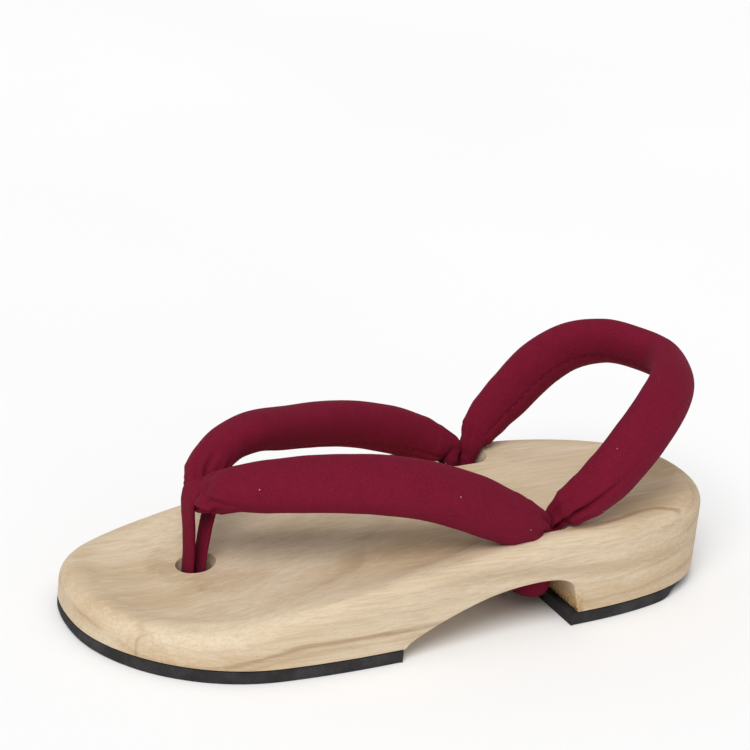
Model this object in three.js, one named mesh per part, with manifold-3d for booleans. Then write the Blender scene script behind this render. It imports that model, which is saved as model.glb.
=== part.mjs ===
// A left geta sandal: a one-piece wooden body with an arch cut across under it, two rubber
// tread pads, a padded thong strap held by a toe loop, and a padded heel strap that passes
// down through the side holes and crosses under the wood.
//
// Millimetres. Pieces are drawn from the toe tip: y is the distance behind the toe tip, x is
// the distance from the heel's middle line, towards the little toe, and z is the height above
// the floor. The whole sandal is then moved so that the origin is under the middle of it.

import * as THREE from 'three';
import { mergeVertices } from 'three/addons/utils/BufferGeometryUtils.js';
import Module from 'manifold-3d';

const wasm = await Module();
wasm.setup();

// ---------------------------------------------------------------- driving dimensions

const LENGTH = 236;
const CLEARANCE = 0.3;
const LOOP_CLEARANCE = 0.6;

const PAD_THICKNESS = 4.3;
const FOREFOOT_PAD_END = 98.7;
const HEEL_PAD_START = 168;
const PAD_EDGE_BEVEL = 0.5;
const TOE_BEVEL = { depth: 1.8, from: 0, to: 16 };
const HEEL_BEVEL = { depth: 5.6, from: 12.5, to: 27.5 };
const PAD_SHOULDER = { share: 0.3, from: 2, height: 0.9 };

// Half widths of the sole on each side of the heel's middle line, before the round ends.
const WIDTHS = [
  { y: 0, lateral: 44.5, medial: 46.9 },
  { y: 20, lateral: 49.4, medial: 45.1 },
  { y: 40, lateral: 52.1, medial: 44.2 },
  { y: 60, lateral: 52.9, medial: 43.8 },
  { y: 80, lateral: 52.4, medial: 43.9 },
  { y: 100, lateral: 50.7, medial: 44.0 },
  { y: 120, lateral: 48.4, medial: 44.0 },
  { y: 145, lateral: 45.0, medial: 43.2 },
  { y: 170, lateral: 41.9, medial: 41.5 },
  { y: 200, lateral: 39.0, medial: 39.2 },
  { y: 236, lateral: 38.1, medial: 38.2 },
];
const TOE_CAP = { length: 57.6, power: 2.3 };
const HEEL_CAP = { length: 60.9, power: 2.32 };

// Height of the rim's crest, radius of its outer round and depth of the dished footbed.
const RIM = [
  { y: 0, crest: 15.6, round: 5.5, dish: 2.4 },
  { y: 22, crest: 16.0, round: 6.0, dish: 2.8 },
  { y: 40, crest: 18.6, round: 6.5, dish: 2.8 },
  { y: 58, crest: 22.2, round: 6.0, dish: 2.6 },
  { y: 80, crest: 25.8, round: 5.0, dish: 2.4 },
  { y: 105, crest: 29.2, round: 5.0, dish: 2.2 },
  { y: 130, crest: 32.0, round: 5.0, dish: 2.0 },
  { y: 155, crest: 34.0, round: 5.0, dish: 1.8 },
  { y: 185, crest: 35.4, round: 6.0, dish: 1.6 },
  { y: 236, crest: 35.4, round: 7.0, dish: 1.6 },
];
const DISH_RUN = 15;
const LEVEL_INSET = 12;
const MIDDLE_LINE_END = 34;

// The arch, cut straight across: from the forefoot pad up to the ceiling, then round and down
// the front face of the heel block.
const ARCH_SLOPE = [
  { y: 98.7, z: 3.0 },
  { y: 100.5, z: 5.8 },
  { y: 108.2, z: 9.9 },
  { y: 119.5, z: 14.2 },
  { y: 131.5, z: 17.5 },
  { y: 142, z: 19.0 },
  { y: 151, z: 19.4 },
];
const ARCH_CORNER = { y: 167.4, z: 14.5, pullY: 166, pullZ: 19.2 };
const HEEL_BLOCK_FOOT = { y: 170.6, z: 3.0 };

const FRONT_HOLE = { x: -4, y: 45.5, radius: 6.2, floor: 7 };
const SIDE_HOLE = { x: 30, front: 155, rear: 162, radius: 5.2, floor: 9 };
const HOLE_CUT_HEIGHT = 40;

// Straps: centre points and sections. half is the half width of the padded band as it lies on
// the foot, and thick is half its thickness. core is a point inside the foot that the band's
// flat side faces.
const THONG = [
  { x: 30.8, y: 155.2, z: 26.5, half: 2.4, thick: 2.3 },
  { x: 30.9, y: 155.0, z: 33.2, half: 2.6, thick: 2.4 },
  { x: 32.8, y: 155.0, z: 35.8, half: 5.1, thick: 4.4 },
  { x: 34.4, y: 148.9, z: 37.9, half: 7.9, thick: 6.2 },
  { x: 35.4, y: 142.0, z: 40.7, half: 9.2, thick: 6.7 },
  { x: 35.0, y: 128.0, z: 47.2, half: 10.2, thick: 7.4 },
  { x: 33.5, y: 111.5, z: 53.0, half: 10.3, thick: 7.6 },
  { x: 30.9, y: 97.7, z: 55.4, half: 10.5, thick: 7.7 },
  { x: 27.1, y: 84.8, z: 55.7, half: 10.4, thick: 7.6 },
  { x: 22.0, y: 72.8, z: 54.6, half: 10.3, thick: 7.6 },
  { x: 15.6, y: 61.5, z: 52.2, half: 9.8, thick: 7.6 },
  { x: 9.0, y: 52.6, z: 49.2, half: 8.3, thick: 7.3 },
  { x: 3.8, y: 49.3, z: 45.8, half: 7.3, thick: 6.9 },
  { x: 1.7, y: 47.5, z: 44.4, half: 6.9, thick: 6.2 },
  { x: 0.3, y: 46.5, z: 42.9, half: 5.4, thick: 5.0 },
  { x: -1.3, y: 45.9, z: 41.8, half: 3.2, thick: 3.8 },
  { x: -4.0, y: 45.7, z: 41.4, half: 2.3, thick: 3.0 },
  { x: -6.7, y: 46.0, z: 41.9, half: 3.2, thick: 3.8 },
  { x: -9.3, y: 47.2, z: 44.2, half: 5.0, thick: 4.9 },
  { x: -11.4, y: 49.6, z: 46.3, half: 6.8, thick: 6.5 },
  { x: -14.8, y: 54.0, z: 49.9, half: 7.5, thick: 6.5 },
  { x: -18.8, y: 61.4, z: 53.4, half: 8.4, thick: 6.6 },
  { x: -23.2, y: 73.4, z: 54.6, half: 9.5, thick: 7.1 },
  { x: -27.4, y: 86.0, z: 52.7, half: 10.1, thick: 7.4 },
  { x: -31.2, y: 100.0, z: 51.2, half: 10.3, thick: 7.6 },
  { x: -33.8, y: 114.0, z: 49.0, half: 10.2, thick: 7.5 },
  { x: -35.0, y: 128.0, z: 45.6, half: 10.1, thick: 7.4 },
  { x: -35.4, y: 142.0, z: 40.7, half: 9.2, thick: 6.7 },
  { x: -34.4, y: 148.9, z: 37.9, half: 7.9, thick: 6.2 },
  { x: -32.8, y: 155.0, z: 35.8, half: 5.1, thick: 4.4 },
  { x: -30.9, y: 155.0, z: 33.2, half: 2.6, thick: 2.4 },
  { x: -30.8, y: 155.2, z: 26.5, half: 2.4, thick: 2.3 },
];
const THONG_STEPS = 78;
const THONG_CORE_HEIGHT = 18;

// One side of the heel strap, from the middle of the heel forward, down and under the wood.
const HEEL_STRAP = [
  { x: 0.0, y: 218.4, z: 78.1, half: 9.2, thick: 6.6 },
  { x: 11.5, y: 215.2, z: 78.0, half: 9.2, thick: 6.6 },
  { x: 22.5, y: 208.2, z: 77.2, half: 9.4, thick: 6.8 },
  { x: 31.0, y: 198.8, z: 72.6, half: 9.7, thick: 7.1 },
  { x: 35.4, y: 189.3, z: 64.4, half: 9.8, thick: 7.4 },
  { x: 36.4, y: 179.4, z: 53.6, half: 9.4, thick: 7.2 },
  { x: 35.8, y: 172.2, z: 46.6, half: 8.5, thick: 6.5 },
  { x: 33.6, y: 166.4, z: 41.2, half: 7.2, thick: 5.4 },
  { x: 31.9, y: 163.7, z: 38.3, half: 4.8, thick: 3.7 },
  { x: 31.0, y: 162.0, z: 32.0, half: 2.8, thick: 2.8 },
  { x: 30.6, y: 161.6, z: 26.0, half: 3.0, thick: 3.0 },
  { x: 30.6, y: 161.0, z: 17.4, half: 3.6, thick: 3.6 },
  { x: 27.0, y: 158.8, z: 10.9, half: 6.6, thick: 5.1 },
  { x: 15.0, y: 157.2, z: 10.9, half: 7.4, thick: 5.9 },
  { x: 0.0, y: 156.6, z: 11.1, half: 7.6, thick: 6.0 },
];
const HEEL_STRAP_STEPS = 108;
const HEEL_STRAP_CORE = { y: 180, z: 50 };

// The toe loop: a folded band that stands in the front hole and closes over the thong, from one
// end in the hole to the other.
const TOE_LOOP = [
  { y: 43.4, z: 8.0, half: 4.2, thick: 1.5 },
  { y: 43.3, z: 20.0, half: 4.3, thick: 1.5 },
  { y: 42.6, z: 30.0, half: 4.4, thick: 1.5 },
  { y: 41.9, z: 36.5, half: 4.7, thick: 1.5 },
  { y: 41.7, z: 40.4, half: 5.2, thick: 1.5 },
  { y: 42.6, z: 44.0, half: 5.5, thick: 1.5 },
  { y: 45.6, z: 46.0, half: 5.4, thick: 1.5 },
  { y: 48.9, z: 44.2, half: 5.2, thick: 1.5 },
  { y: 50.0, z: 40.4, half: 4.9, thick: 1.5 },
  { y: 49.6, z: 36.5, half: 4.6, thick: 1.5 },
  { y: 48.6, z: 30.0, half: 4.4, thick: 1.5 },
  { y: 47.7, z: 20.0, half: 4.3, thick: 1.5 },
  { y: 47.6, z: 8.0, half: 4.2, thick: 1.5 },
];
const TOE_LOOP_STEPS = 40;
const TOE_LOOP_CORE_HEIGHT = 40.8;

const OUTLINE_STEPS = 34;
const STRAP_SIDES = 14;
const RESTING_HEIGHT = 0.2;
const FOOTBED_GAP = 1;
const HOLE_SIDES = 24;

// ---------------------------------------------------------------- tables and solids

/** Reads a column of a table at y, along a smooth curve through its rows. */
function column(rows, name, y) {
  const last = rows.length - 1;
  const slope = (i) => {
    const before = rows[Math.max(i - 1, 0)];
    const after = rows[Math.min(i + 1, last)];
    return (after[name] - before[name]) / (after.y - before.y);
  };
  let i = 0;
  while (i < last - 1 && y > rows[i + 1].y) {
    i += 1;
  }
  const span = rows[i + 1].y - rows[i].y;
  const t = (y - rows[i].y) / span;
  const fromStart = (1 + 2 * t) * (1 - t) ** 2 * rows[i][name] + t * (1 - t) ** 2 * span * slope(i);
  const fromEnd = t * t * (3 - 2 * t) * rows[i + 1][name] - t * t * (1 - t) * span * slope(i + 1);
  return fromStart + fromEnd;
}

/** A closed mesh from rings of equally many points, capped across its first and last ring. */
function loft(rings, closed = false) {
  const count = rings[0].length;
  const points = rings.flat();
  const triangles = [];
  const strips = closed ? rings.length : rings.length - 1;
  for (let r = 0; r < strips; r += 1) {
    const a = r * count;
    const b = ((r + 1) % rings.length) * count;
    for (let i = 0; i < count; i += 1) {
      const j = (i + 1) % count;
      triangles.push(a + i, a + j, b + j, a + i, b + j, b + i);
    }
  }
  if (!closed) {
    const top = (rings.length - 1) * count;
    for (let i = 0; i < count / 2; i += 1) {
      const back = (count - i) % count;
      const next = count - 1 - i;
      if (i < count / 2 - 1) {
        triangles.push(i, next, i + 1, top + i, top + i + 1, top + next);
      }
      if (i > 0) {
        triangles.push(i, back, next, top + i, top + next, top + back);
      }
    }
  }
  const geometry = new THREE.BufferGeometry().setFromPoints(points);
  geometry.setIndex(triangles);
  return geometry;
}

/** Turns a closed mesh into a solid that can be cut and joined. */
function solid(geometry) {
  const plain = geometry.clone();
  plain.deleteAttribute('normal');
  plain.deleteAttribute('uv');
  const merged = mergeVertices(plain, 1e-4);
  return new wasm.Manifold(new wasm.Mesh({
    numProp: 3,
    vertProperties: new Float32Array(merged.attributes.position.array),
    triVerts: new Uint32Array(merged.index.array),
  }));
}

/** Turns a solid back into a mesh's geometry. */
function geometryOf(shape) {
  const { vertProperties, triVerts } = shape.getMesh();
  const geometry = new THREE.BufferGeometry();
  geometry.setAttribute('position', new THREE.BufferAttribute(vertProperties, 3));
  geometry.setIndex(new THREE.BufferAttribute(triVerts, 1));
  geometry.computeVertexNormals();
  return geometry;
}

// ---------------------------------------------------------------- sole outline

/** How far the round toe and heel draw the sides in at y, from 0 at the tips to 1. */
function endRounding(y) {
  const fromToe = Math.max(0, 1 - y / TOE_CAP.length);
  const fromHeel = Math.max(0, 1 - (LENGTH - y) / HEEL_CAP.length);
  const toe = Math.max(0, 1 - fromToe ** TOE_CAP.power) ** (1 / TOE_CAP.power);
  const heel = Math.max(0, 1 - fromHeel ** HEEL_CAP.power) ** (1 / HEEL_CAP.power);
  return toe * heel;
}

/** The sole's outline, once round: toe tip, lateral side, heel, medial side. */
function outline() {
  const points = [];
  for (let i = 0; i < 2 * OUTLINE_STEPS; i += 1) {
    const turn = (Math.PI * i) / OUTLINE_STEPS;
    const y = (LENGTH * (1 - Math.cos(turn))) / 2;
    const side = i <= OUTLINE_STEPS ? 'lateral' : 'medial';
    const sign = side === 'lateral' ? 1 : -1;
    points.push(new THREE.Vector2(sign * column(WIDTHS, side, y) * endRounding(y), y));
  }
  return points;
}

/** The outline moved inwards by the same distance all round. */
function insetOutline(points, distance) {
  return points.map((point, i) => {
    const before = points[(i + points.length - 1) % points.length];
    const after = points[(i + 1) % points.length];
    const along = after.clone().sub(before).normalize();
    const inset = typeof distance === 'function' ? distance(point.y) : distance;
    return new THREE.Vector2(point.x - along.y * inset, point.y + along.x * inset);
  });
}

/** Where a point of the outline goes when the footbed closes onto its middle line. */
function middleOf(point) {
  const y = MIDDLE_LINE_END + ((LENGTH - 2 * MIDDLE_LINE_END) * point.y) / LENGTH;
  return new THREE.Vector2(0, y);
}

// ---------------------------------------------------------------- wood

/** Height of the upper surface at y, where inset is the distance in from the outline. */
function upperHeight(y, inset) {
  const round = column(RIM, 'round', y);
  const dropIn = Math.max(0, round - inset);
  const edge = round - Math.sqrt(round * round - dropIn * dropIn);
  const into = THREE.MathUtils.smoothstep(inset, round, round + DISH_RUN);
  return column(RIM, 'crest', y) - edge - into * column(RIM, 'dish', y);
}

/** Height of the upper surface at a place on it. */
function surfaceAt(x, y) {
  const side = x > 0 ? 'lateral' : 'medial';
  const inset = column(WIDTHS, side, y) * endRounding(y) - Math.abs(x);
  return upperHeight(y, Math.max(inset, 0));
}

/** The body's plain form: upright wall, rounded rim and dished footbed. */
function plainBody() {
  const edge = outline();
  const rings = [edge.map((p) => new THREE.Vector3(p.x, p.y, PAD_THICKNESS + CLEARANCE))];
  const roundSteps = 4;
  for (let k = 0; k <= roundSteps; k += 1) {
    const share = 1 - Math.cos((Math.PI * k) / (2 * roundSteps));
    const inset = (y) => share * column(RIM, 'round', y);
    rings.push(insetOutline(edge, inset).map((p, i) => {
      const height = upperHeight(edge[i].y, inset(edge[i].y));
      return new THREE.Vector3(p.x, p.y, height);
    }));
  }
  for (const inset of [9, LEVEL_INSET]) {
    rings.push(insetOutline(edge, inset).map((p) => (
      new THREE.Vector3(p.x, p.y, upperHeight(p.y, inset)))));
  }
  const level = insetOutline(edge, LEVEL_INSET);
  for (const share of [0.2, 0.45, 0.8]) {
    rings.push(level.map((p) => {
      const inner = p.clone().lerp(middleOf(p), share);
      const inset = LEVEL_INSET + share * DISH_RUN;
      return new THREE.Vector3(inner.x, inner.y, upperHeight(inner.y, inset));
    }));
  }
  return solid(loft(rings));
}

/** A shape drawn in y and z, made into a solid that passes right through from side to side. */
function acrossCutter(shape) {
  const halfSpan = LENGTH / 3;
  const geometry = new THREE.ExtrudeGeometry(shape, { depth: 2 * halfSpan, bevelEnabled: false });
  geometry.rotateY(Math.PI / 2);
  geometry.rotateX(Math.PI / 2);
  geometry.translate(-halfSpan, 0, 0);
  return solid(geometry);
}

/** The hollow under the instep. */
function archCutter() {
  const shape = new THREE.Shape();
  shape.moveTo(ARCH_SLOPE[0].y, ARCH_SLOPE[0].z);
  shape.splineThru(ARCH_SLOPE.slice(1).map((p) => new THREE.Vector2(p.y, p.z)));
  shape.quadraticCurveTo(ARCH_CORNER.pullY, ARCH_CORNER.pullZ, ARCH_CORNER.y, ARCH_CORNER.z);
  shape.lineTo(HEEL_BLOCK_FOOT.y, HEEL_BLOCK_FOOT.z);
  shape.closePath();
  return acrossCutter(shape);
}

/** A slot with round ends, running up through the wood beside the heel. */
function sideHoleCutter(side) {
  const { x, front, rear, radius, floor } = SIDE_HOLE;
  const shape = new THREE.Shape();
  shape.absarc(x * side, rear, radius, 0, Math.PI, false);
  shape.absarc(x * side, front, radius, Math.PI, 2 * Math.PI, false);
  shape.closePath();
  const options = { depth: HOLE_CUT_HEIGHT, bevelEnabled: false, curveSegments: HOLE_SIDES / 2 };
  return solid(new THREE.ExtrudeGeometry(shape, options).translate(0, 0, floor));
}

/** The round hole for the toe loop, which the forefoot pad closes from below. */
function frontHoleCutter() {
  const { x, y, radius, floor } = FRONT_HOLE;
  const geometry = new THREE.CylinderGeometry(radius, radius, HOLE_CUT_HEIGHT, HOLE_SIDES);
  geometry.rotateX(Math.PI / 2);
  geometry.translate(x, y, floor + HOLE_CUT_HEIGHT / 2);
  return solid(geometry);
}

function woodenBody() {
  return plainBody()
    .subtract(archCutter())
    .subtract(sideHoleCutter(1))
    .subtract(sideHoleCutter(-1))
    .subtract(frontHoleCutter());
}

// ---------------------------------------------------------------- rubber

/** How far the pad's lower edge is drawn in at y: a little at the sides, most at the tips. */
function padBevel(y) {
  const { depth, from, to } = y < LENGTH / 2 ? TOE_BEVEL : HEEL_BEVEL;
  const tip = 1 - THREE.MathUtils.smoothstep(Math.min(y, LENGTH - y), from, to);
  return PAD_EDGE_BEVEL + tip * (depth - PAD_EDGE_BEVEL);
}

/** A tread pad between two distances from the toe tip, with its lower edge bevelled. */
function treadPad(start, end) {
  const edge = outline();
  const { share, from, height } = PAD_SHOULDER;
  const lower = insetOutline(edge, padBevel);
  const shoulder = insetOutline(edge, (y) => share * Math.max(0, padBevel(y) - from));
  const edgeHeight = (y) => Math.min(padBevel(y), height * PAD_THICKNESS);
  const slab = solid(loft([
    lower.map((p) => new THREE.Vector3(p.x, p.y, 0)),
    shoulder.map((p, i) => new THREE.Vector3(p.x, p.y, edgeHeight(edge[i].y))),
    shoulder.map((p) => new THREE.Vector3(p.x, p.y, PAD_THICKNESS)),
  ]));
  const block = new THREE.BoxGeometry(2 * LENGTH, end - start, 4 * PAD_THICKNESS);
  block.translate(0, (start + end) / 2, 0);
  return slab.intersect(solid(block));
}

// ---------------------------------------------------------------- straps

/**
 * An oval ring round a centre, its flat side turned to face the core. Where the band lies on the
 * footbed, its underside is pressed flat against it.
 */
function bandSection(centre, forward, core, half, thick) {
  const out = centre.clone().sub(core);
  out.addScaledVector(forward, -out.dot(forward)).normalize();
  const across = new THREE.Vector3().crossVectors(out, forward);
  const lies = centre.z > surfaceAt(centre.x, centre.y) + RESTING_HEIGHT;
  const ring = [];
  for (let i = 0; i < STRAP_SIDES; i += 1) {
    const turn = (2 * Math.PI * i) / STRAP_SIDES;
    const point = centre.clone();
    point.addScaledVector(across, half * Math.cos(turn));
    point.addScaledVector(out, thick * Math.sin(turn));
    if (lies) {
      point.z = Math.max(point.z, surfaceAt(point.x, point.y) + FOOTBED_GAP);
    }
    ring.push(point);
  }
  return ring;
}

/** A padded band through the rows of a table, spare thicker than the rows say. */
function band(rows, steps, closed, coreOf, spare) {
  const points = rows.map((row) => new THREE.Vector3(row.x, row.y, row.z));
  const curve = new THREE.CatmullRomCurve3(points, closed, 'centripetal');
  const spans = closed ? rows.length : rows.length - 1;
  const rings = [];
  for (let k = 0; k < (closed ? steps : steps + 1); k += 1) {
    const share = curve.getUtoTmapping(k / steps);
    const row = Math.min(Math.floor(share * spans), spans - 1);
    const from = rows[row];
    const to = rows[(row + 1) % rows.length];
    const half = THREE.MathUtils.lerp(from.half, to.half, share * spans - row) + spare;
    const thick = THREE.MathUtils.lerp(from.thick, to.thick, share * spans - row) + spare;
    const centre = curve.getPoint(share);
    rings.push(bandSection(centre, curve.getTangent(share), coreOf(centre), half, thick));
  }
  return solid(loft(rings, closed));
}

function thong(spare = 0) {
  const coreOf = (centre) => new THREE.Vector3(0, centre.y, THONG_CORE_HEIGHT);
  return band(THONG, THONG_STEPS, false, coreOf, spare);
}

function heelStrap() {
  const mirrored = HEEL_STRAP.slice(1, -1).reverse().map((row) => ({ ...row, x: -row.x }));
  const core = new THREE.Vector3(0, HEEL_STRAP_CORE.y, HEEL_STRAP_CORE.z);
  return band([...HEEL_STRAP, ...mirrored], HEEL_STRAP_STEPS, true, () => core, 0);
}

function toeLoop() {
  const { x, y } = FRONT_HOLE;
  const rows = TOE_LOOP.map((row) => ({ ...row, x }));
  const coreOf = (centre) => new THREE.Vector3(x, y, Math.min(centre.z, TOE_LOOP_CORE_HEIGHT));
  const loop = band(rows, TOE_LOOP_STEPS, false, coreOf, 0);
  return loop.subtract(thong(LOOP_CLEARANCE)).subtract(thong());
}

// ---------------------------------------------------------------- the sandal

const wood = { color: 0xcdb89b, roughness: 0.62, metalness: 0 };
const rubber = { color: 0x302d2e, roughness: 0.85, metalness: 0 };
const cloth = { color: 0x6c1a2e, roughness: 0.9, metalness: 0 };

function piece(name, shape, finish) {
  const mesh = new THREE.Mesh(geometryOf(shape), new THREE.MeshStandardMaterial(finish));
  mesh.name = name;
  return mesh;
}

const treads = new THREE.Group();
treads.add(piece('forefoot_pad', treadPad(-1, FOREFOOT_PAD_END), rubber));
treads.add(piece('heel_pad', treadPad(HEEL_PAD_START, LENGTH + 1), rubber));

const straps = new THREE.Group();
straps.add(piece('thong_strap', thong(), cloth));
straps.add(piece('toe_loop', toeLoop(), cloth));
straps.add(piece('heel_strap', heelStrap(), cloth));

const sandal = new THREE.Group();
sandal.add(piece('wooden_body', woodenBody(), wood));
sandal.add(treads);
sandal.add(straps);

const sides = outline().map((point) => point.x);
const middle = (Math.max(...sides) + Math.min(...sides)) / 2;
sandal.position.set(-middle, -LENGTH / 2, 0);

export default sandal;
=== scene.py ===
import bisect
import math

import bmesh
import bpy
from mathutils import Matrix, Vector, noise


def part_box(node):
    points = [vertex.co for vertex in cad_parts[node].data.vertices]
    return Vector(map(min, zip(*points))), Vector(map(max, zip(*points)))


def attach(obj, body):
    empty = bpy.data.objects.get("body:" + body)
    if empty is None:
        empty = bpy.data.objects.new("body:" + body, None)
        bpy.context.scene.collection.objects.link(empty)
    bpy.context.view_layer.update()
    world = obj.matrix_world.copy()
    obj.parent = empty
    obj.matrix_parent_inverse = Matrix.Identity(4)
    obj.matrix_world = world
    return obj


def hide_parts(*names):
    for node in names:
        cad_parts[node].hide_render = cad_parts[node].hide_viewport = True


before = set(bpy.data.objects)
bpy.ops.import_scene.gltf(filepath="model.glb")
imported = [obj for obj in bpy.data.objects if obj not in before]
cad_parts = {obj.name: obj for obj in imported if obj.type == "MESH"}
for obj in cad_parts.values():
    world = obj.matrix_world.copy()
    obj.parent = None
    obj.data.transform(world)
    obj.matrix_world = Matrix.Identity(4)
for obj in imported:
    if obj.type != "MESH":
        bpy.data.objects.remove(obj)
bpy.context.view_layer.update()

bl_info = {
    "name": "Geta Sandal",
    "version": (1, 0, 0),
    "blender": (4, 5, 0),
    "location": "View3D > Sidebar > Sandal",
    "description": "Builds a left wooden geta sandal with padded cloth straps",
    "category": "Add Mesh",
}

MM = 0.001

# --------------------------------------------------------------- the sandal's own measures
# Millimetres from the toe tip: y runs back to the heel, x towards the little toe from the
# heel's middle line, and z up from the floor.

LENGTH = 236.0
PAD_TOP = 4.3
WOOD_BOTTOM = 4.6
FOREFOOT_PAD_END = 98.7
HEEL_PAD_START = 168.0

# half widths of the sole: y, lateral, medial
WIDTHS = [
    (0, 44.5, 46.9), (20, 49.4, 45.1), (40, 52.1, 44.2), (60, 52.9, 43.8),
    (80, 52.4, 43.9), (100, 50.7, 44.0), (120, 48.4, 44.0), (145, 45.0, 43.2),
    (170, 41.9, 41.5), (200, 39.0, 39.2), (236, 38.1, 38.2),
]
# the round ends: how far from the tip each one starts, and the power of its curve
TOE_CAP = (57.6, 2.3)
HEEL_CAP = (60.9, 2.32)

# the footbed's rim: y, height of its crest, radius of its outer round, depth of the dish, which
# is reached over a run from the round's inner side
RIM = [
    (0, 15.6, 5.5, 2.4), (22, 16.0, 6.0, 2.8), (40, 18.6, 6.5, 2.8), (58, 22.2, 6.0, 2.6),
    (80, 25.8, 5.0, 2.4), (105, 29.2, 5.0, 2.2), (130, 32.0, 5.0, 2.0), (155, 34.0, 5.0, 1.8),
    (185, 35.4, 6.0, 1.6), (236, 35.4, 7.0, 1.6),
]
DISH_RUN = 15.0

# how far in from the outline the rings on the dish's slope lie, and how far from the tips the
# line ends that the rings of the footbed close on
SLOPE_INSETS = (7.5, 8.5, 9.5, 10.5, 12.0)
SPINE_INSET = 34.0

# the arch, seen from the side: y, height of the underside; then its rounded inner corner, the
# foot of the heel block, and where the outline's points lie close: from, to, step
ARCH = [
    (98.7, 3.0), (100.5, 5.8), (108.2, 9.9), (119.5, 14.2), (131.5, 17.5), (142, 19.0), (151, 19.4),
]
ARCH_CORNER = ((166.0, 19.2), (167.4, 14.5))
HEEL_BLOCK_FOOT = (170.6, 3.0)
ARCH_ENDS = [(97.9, 101.7, 0.4), (158.0, 171.2, 0.4)]

# a hole in the footbed: middle line, ends, radius, height of its floor, how far in from the
# outline its surface is read, points round it, and its flare as heights above that surface
# with the widening there
FRONT_HOLE = {
    "x": -4.0, "front": 45.5, "rear": 45.5, "radius": 6.2, "floor": 7.0, "inset": 30.0, "sides": 56,
    "flare": [(-1.2, 0.0), (-0.4, 0.3), (0.4, 0.9), (8.0, 2.0)],
}
SIDE_HOLE = {
    "x": 30.0, "front": 155.0, "rear": 162.0, "radius": 5.2, "floor": 9.0, "inset": 12.0, "sides": 64,
    "flare": [(-1.6, 0.0), (-0.6, 0.35), (0.4, 1.1), (8.0, 3.0)],
}

# a tread's worn lower edge: bevel at its tip, bevel along its sides, and the distances from the
# tip between which the one turns into the other; how high a bevel may reach as a share of the
# tread; and the share of a bevel past a size by which the wall above it is drawn in too
FOREFOOT_WEAR = (1.8, 0.5, 0.0, 16.0)
HEEL_WEAR = (5.6, 0.5, 12.5, 27.5)
BEVEL_TOP = 0.9
SHOULDER_SHARE = 0.3
SHOULDER_FROM = 2.0

# the thong from the lateral side hole forward to the toe loop and back to the medial side
# hole: x, y, z, half width, half thickness; then its narrowest place, and the height of the
# line that its outer side faces away from
THONG = [
    (30.8, 155.2, 26.5, 2.4, 2.3), (30.9, 155.0, 33.2, 2.6, 2.4), (32.8, 155.0, 35.8, 5.1, 4.4),
    (34.4, 148.9, 37.9, 7.9, 6.2), (35.4, 142.0, 40.7, 9.2, 6.7), (35.0, 128.0, 47.2, 10.2, 7.4),
    (33.5, 111.5, 53.0, 10.3, 7.6), (30.9, 97.7, 55.4, 10.5, 7.7), (27.1, 84.8, 55.7, 10.4, 7.6),
    (22.0, 72.8, 54.6, 10.3, 7.6), (15.6, 61.5, 52.2, 9.8, 7.6), (9.0, 52.6, 49.2, 8.3, 7.3),
    (3.8, 49.3, 45.8, 7.3, 6.9), (1.7, 47.5, 44.4, 6.9, 6.2), (0.3, 46.5, 42.9, 5.4, 5.0),
    (-1.3, 45.9, 41.8, 3.2, 3.8), (-4.0, 45.7, 41.4, 2.3, 3.0), (-6.7, 46.0, 41.9, 3.2, 3.8),
    (-9.3, 47.2, 44.2, 5.0, 4.9),
    (-11.4, 49.6, 46.3, 6.8, 6.5), (-14.8, 54.0, 49.9, 7.5, 6.5), (-18.8, 61.4, 53.4, 8.4, 6.6),
    (-23.2, 73.4, 54.6, 9.5, 7.1), (-27.4, 86.0, 52.7, 10.1, 7.4), (-31.2, 100.0, 51.2, 10.3, 7.6),
    (-33.8, 114.0, 49.0, 10.2, 7.5), (-35.0, 128.0, 45.6, 10.1, 7.4), (-35.4, 142.0, 40.7, 9.2, 6.7),
    (-34.4, 148.9, 37.9, 7.9, 6.2), (-32.8, 155.0, 35.8, 5.1, 4.4), (-30.9, 155.0, 33.2, 2.6, 2.4),
    (-30.8, 155.2, 26.5, 2.4, 2.3),
]
THONG_MIDDLE = Vector((-4.0, 45.7, 41.4))
THONG_CORE_HEIGHT = 18.0

# one side of the heel strap, from the middle of the heel round to the middle of the underside;
# then its narrowest place, and the point that its outer side faces away from
HEEL_STRAP_SIDE = [
    (0, 218.4, 78.1, 9.2, 6.6), (11.5, 215.2, 78.0, 9.2, 6.6), (22.5, 208.2, 77.2, 9.4, 6.8),
    (31.0, 198.8, 72.6, 9.7, 7.1), (35.4, 189.3, 64.4, 9.8, 7.4), (36.4, 179.4, 53.6, 9.4, 7.2),
    (35.8, 172.2, 46.6, 8.5, 6.5), (33.6, 166.4, 41.2, 7.2, 5.4), (31.9, 163.7, 38.3, 4.8, 3.7),
    (31.0, 162.0, 32.0, 2.8, 2.8), (30.6, 161.6, 26.0, 3.0, 3.0), (30.6, 161.0, 17.4, 3.6, 3.6),
    (27.0, 158.8, 10.9, 6.6, 5.1), (15.0, 157.2, 10.9, 7.4, 5.9), (0, 156.6, 11.1, 7.6, 6.0),
]
HEEL_STRAP_PINCH = Vector((31.0, 162.0, 32.0))
HEEL_STRAP_CORE = Vector((0.0, 180.0, 50.0))

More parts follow.
